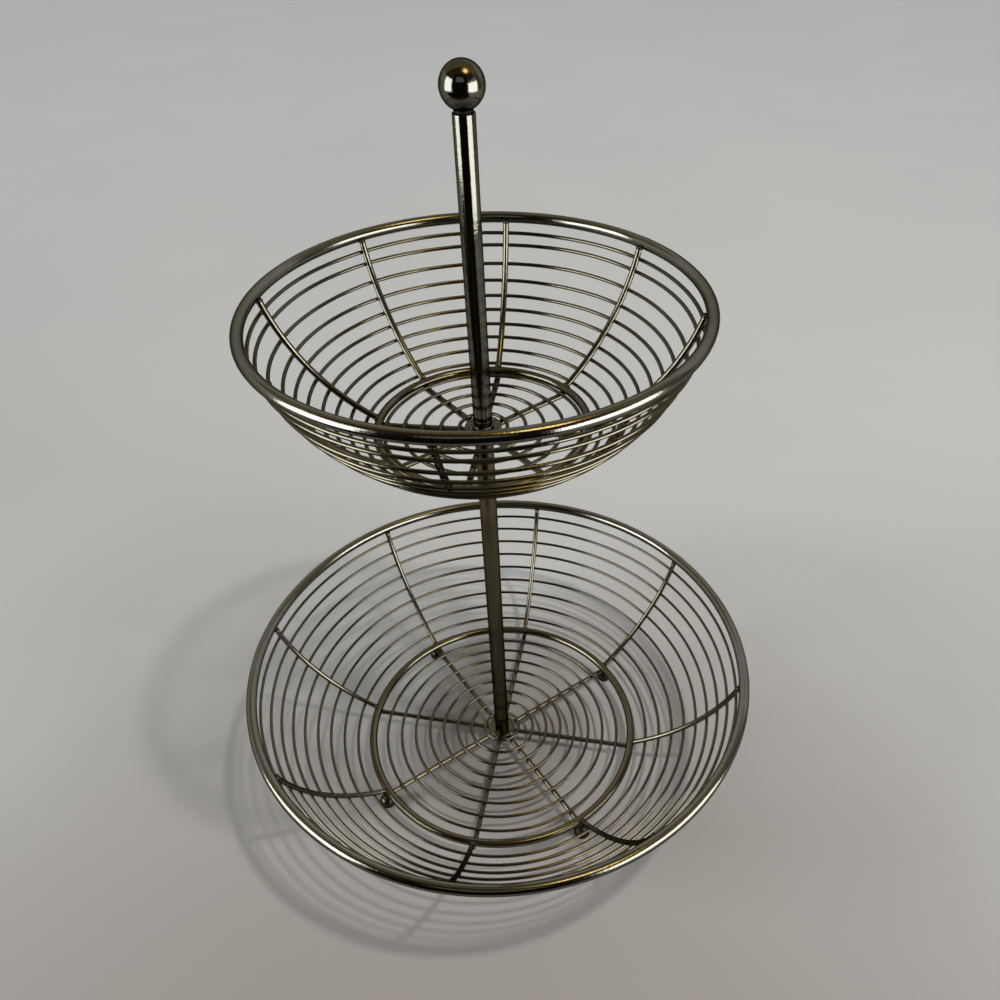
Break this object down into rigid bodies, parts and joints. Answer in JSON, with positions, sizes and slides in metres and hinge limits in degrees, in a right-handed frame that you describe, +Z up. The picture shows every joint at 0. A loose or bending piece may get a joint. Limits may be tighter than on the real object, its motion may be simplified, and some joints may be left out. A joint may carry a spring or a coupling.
{
  "type": "tiered wire basket",
  "caption": "Tiered wire fruit basket: a large and a small round wire bowl on one centre pole, with ball feet and a ball on top.",
  "frame": {"origin": "on the table plane, under the axis of the centre pole", "axes": "+Z up along the pole; X and Y each lie along two ribs of the lower bowl, and the feet stand between them on the diagonals"},
  "size_m": [0.3004, 0.3004, 0.4064],
  "materials": {
    "rim_wire": "bright nickel plate over steel wire",
    "frame_wire": "bright nickel plate over steel wire",
    "thin_wire": "bright nickel plate over steel wire",
    "hub": "nickel plate over pressed steel",
    "pole": "bright nickel plate over steel tube",
    "ball": "polished nickel plate",
    "feet": "polished nickel plate",
    "fasteners": "zinc plated steel"
  },
  "bodies": {
    "lower_tier": {"bottom_screw": "fasteners", "bottom_washer": "fasteners", "feet": "feet", "joining_stud": "fasteners", "lower_base_ring": "frame_wire", "lower_floor_hoops": "thin_wire", "lower_hub_plate": "hub", "lower_post": "pole", "lower_rib_1": "frame_wire", "lower_rib_2": "frame_wire", "lower_rib_3": "frame_wire", "lower_rib_4": "frame_wire", "lower_rib_5": "frame_wire", "lower_rib_6": "frame_wire", "lower_rib_7": "frame_wire", "lower_rib_8": "frame_wire", "lower_rim": "rim_wire", "lower_spokes": "frame_wire", "lower_wall_hoop_1": "thin_wire", "lower_wall_hoop_2": "thin_wire", "lower_wall_hoop_3": "thin_wire", "lower_wall_hoop_4": "thin_wire", "lower_wall_hoop_5": "thin_wire", "lower_wall_hoop_6": "thin_wire", "lower_wall_hoop_7": "thin_wire", "lower_wall_hoop_8": "thin_wire", "lower_wall_hoop_9": "thin_wire"},
    "upper_tier": {"upper_base_ring": "frame_wire", "upper_floor_hoops": "thin_wire", "upper_hub_plate": "hub", "upper_rib_1": "frame_wire", "upper_rib_2": "frame_wire", "upper_rib_3": "frame_wire", "upper_rib_4": "frame_wire", "upper_rib_5": "frame_wire", "upper_rib_6": "frame_wire", "upper_rib_7": "frame_wire", "upper_rib_8": "frame_wire", "upper_rim": "rim_wire", "upper_spokes": "frame_wire", "upper_wall_hoop_1": "thin_wire", "upper_wall_hoop_10": "thin_wire", "upper_wall_hoop_2": "thin_wire", "upper_wall_hoop_3": "thin_wire", "upper_wall_hoop_4": "thin_wire", "upper_wall_hoop_5": "thin_wire", "upper_wall_hoop_6": "thin_wire", "upper_wall_hoop_7": "thin_wire", "upper_wall_hoop_8": "thin_wire", "upper_wall_hoop_9": "thin_wire"},
    "foot_collar": {"ferrule": "pole"},
    "handle": {"handle_tube": "pole", "ball_finial": "ball"}
  },
  "joints": [
    {"name": "tier_swivel", "type": "hinge", "parent": "lower_tier", "child": "upper_tier", "pos_m": [0, 0, 0.25075], "axis": [0, 0, 1], "continuous": true},
    {"name": "handle_turn", "type": "hinge", "parent": "lower_tier", "child": "foot_collar", "pos_m": [0, 0, 0.25215], "axis": [0, 0, 1], "range_deg": [0, 2160]},
    {"name": "handle_rise", "type": "slide", "parent": "foot_collar", "child": "handle", "axis": [0, 0, 1], "range_m": [0, 0.006]}
  ],
  "couplings": [
    {"joint": "handle_turn", "follows": "handle_rise", "rad_per_m": 6283.2}
  ]
}
